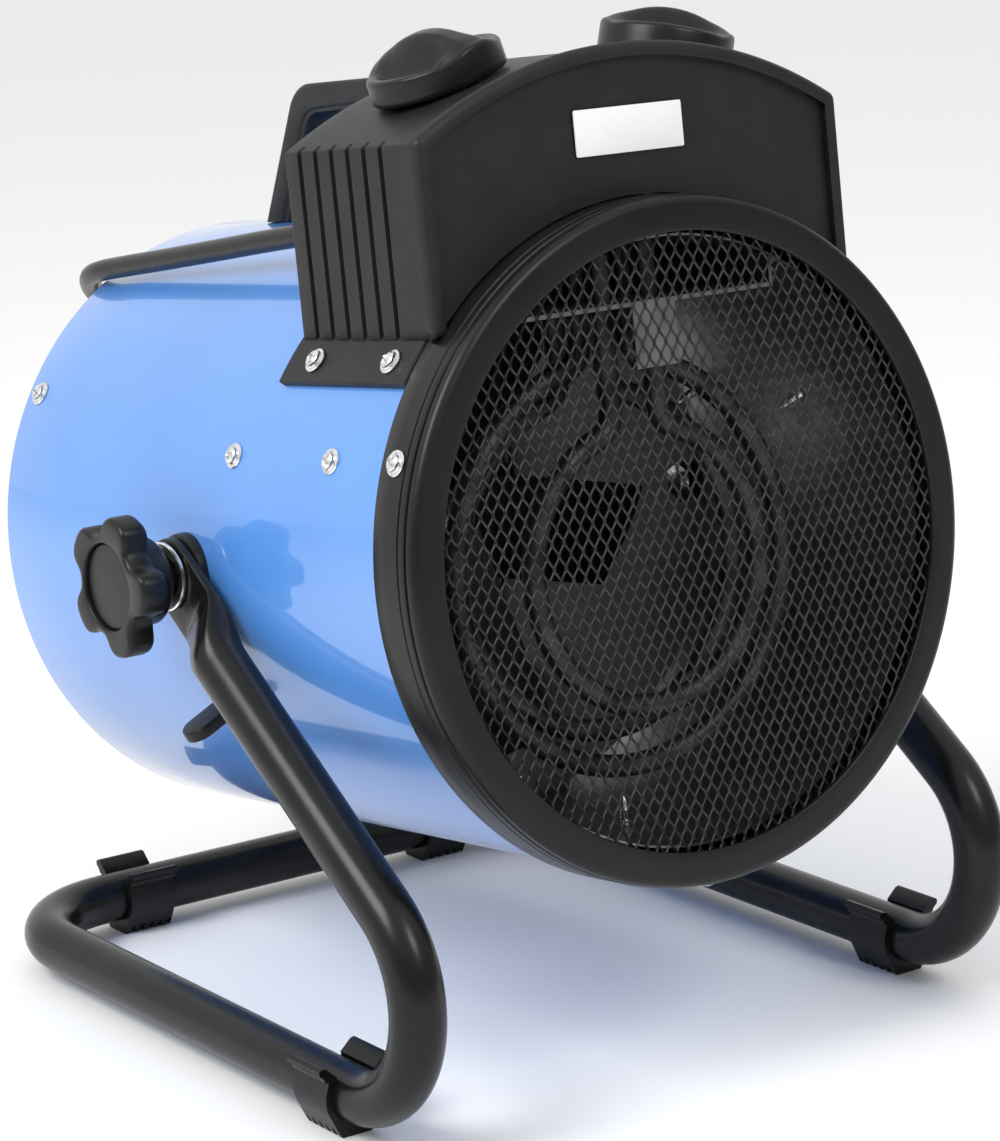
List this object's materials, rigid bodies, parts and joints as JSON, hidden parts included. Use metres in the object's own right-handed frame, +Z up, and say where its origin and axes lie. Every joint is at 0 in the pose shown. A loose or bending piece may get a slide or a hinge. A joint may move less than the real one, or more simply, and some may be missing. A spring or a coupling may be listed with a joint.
{
  "type": "electric fan heater",
  "caption": "Portable electric fan heater: blue steel drum with ring elements behind a diamond mesh, control box with carry handle on top, tilting in a bent-tube stand.",
  "frame": {"origin": "on the floor, under the middle of the heater's box without its lead", "axes": "+Z up, -Y towards the air outlet, +X to the right as seen by someone facing the outlet"},
  "size_m": [0.3988, 0.4113, 0.3585],
  "materials": {
    "drum_paint": "gloss blue enamel",
    "black_coat": "satin black powder coat",
    "mesh_coat": "dark satin coat",
    "galvanised": "bright zinc-coated sheet",
    "element_sheath": "dark heat-stained sheath",
    "porcelain": "glazed porcelain",
    "zinc": "zinc-plated steel",
    "motor_can": "grey paint",
    "fan_metal": "dark grey paint",
    "black_plastic": "fine-textured black moulding",
    "label_white": "plain white plate",
    "switch_plastic": "off-white thermoset",
    "thermostat_metal": "plain steel can",
    "foot_rubber": "black rubber",
    "lead_rubber": "black rubber sheath",
    "pin_metal": "nickel-plated brass"
  },
  "bodies": {
    "stand": {"stand_tube": "black_coat", "foot_front_left": "foot_rubber", "foot_front_right": "foot_rubber", "foot_rear_left": "foot_rubber", "foot_rear_right": "foot_rubber", "cord_coil": "lead_rubber", "cord_tail": "lead_rubber", "cord_tie": "lead_rubber", "plug_body": "lead_rubber", "plug_pins": "pin_metal"},
    "heater": {"drum_shell": "drum_paint", "inner_duct": "galvanised", "duct_spacers": "galvanised", "front_ring": "black_coat", "front_mesh": "mesh_coat", "rear_guard": "black_coat", "element_inner": "element_sheath", "element_middle": "element_sheath", "element_outer": "element_sheath", "element_bracket": "galvanised", "element_insulators": "porcelain", "element_terminals": "zinc", "thermal_cutout": "zinc", "motor": "motor_can", "motor_bracket": "black_coat", "control_box": "black_plastic", "label_plate": "label_white", "carry_handle": "black_plastic", "heat_switch": "switch_plastic", "thermostat": "thermostat_metal", "terminal_block": "switch_plastic", "cord_gland": "black_plastic", "power_cord": "lead_rubber", "ring_screws": "zinc", "duct_screws": "zinc", "box_screws": "zinc", "guard_screws": "zinc", "left_boss": "black_plastic", "right_boss": "black_plastic", "pivot_nuts": "zinc", "tilt_stops": "black_plastic"},
    "fan": {"fan_hub": "fan_metal", "fan_blades": "fan_metal", "fan_shaft": "zinc", "fan_nut": "zinc"},
    "heat_dial": {"heat_knob": "black_plastic", "heat_knob_shaft": "zinc"},
    "thermostat_dial": {"thermostat_knob": "black_plastic", "thermostat_knob_shaft": "zinc"},
    "left_clamp": {"left_clamp_knob": "black_plastic", "left_clamp_cap": "black_plastic", "left_clamp_stud": "zinc", "left_washer": "zinc"},
    "right_clamp": {"right_clamp_knob": "black_plastic", "right_clamp_cap": "black_plastic", "right_clamp_stud": "zinc", "right_washer": "zinc"}
  },
  "joints": [
    {"name": "tilt", "type": "hinge", "parent": "stand", "child": "heater", "pos_m": [0, 0.00613, 0.1717], "axis": [1, 0, 0], "range_deg": [-30, 20], "deforming": ["power_cord"]},
    {"name": "fan_spin", "type": "hinge", "parent": "heater", "child": "fan", "pos_m": [0, 0.00613, 0.1717], "axis": [0, 0.9936, -0.1132], "continuous": true},
    {"name": "heat_dial_turn", "type": "hinge", "parent": "heater", "child": "heat_dial", "pos_m": [-0.047, -0.06241, 0.3387], "axis": [-0.2848, 0.1085, 0.9524], "range_deg": [-90, 180]},
    {"name": "thermostat_turn", "type": "hinge", "parent": "heater", "child": "thermostat_dial", "pos_m": [0.047, -0.06241, 0.3387], "axis": [0.2848, 0.1085, 0.9524], "range_deg": [-60, 210]},
    {"name": "left_clamp_turn", "type": "hinge", "parent": "heater", "child": "left_clamp", "pos_m": [-0.1165, 0.00613, 0.1717], "axis": [1, 0, 0], "range_deg": [-180, 180]},
    {"name": "right_clamp_turn", "type": "hinge", "parent": "heater", "child": "right_clamp", "pos_m": [0.1165, 0.00613, 0.1717], "axis": [1, 0, 0], "range_deg": [-180, 180]}
  ]
}
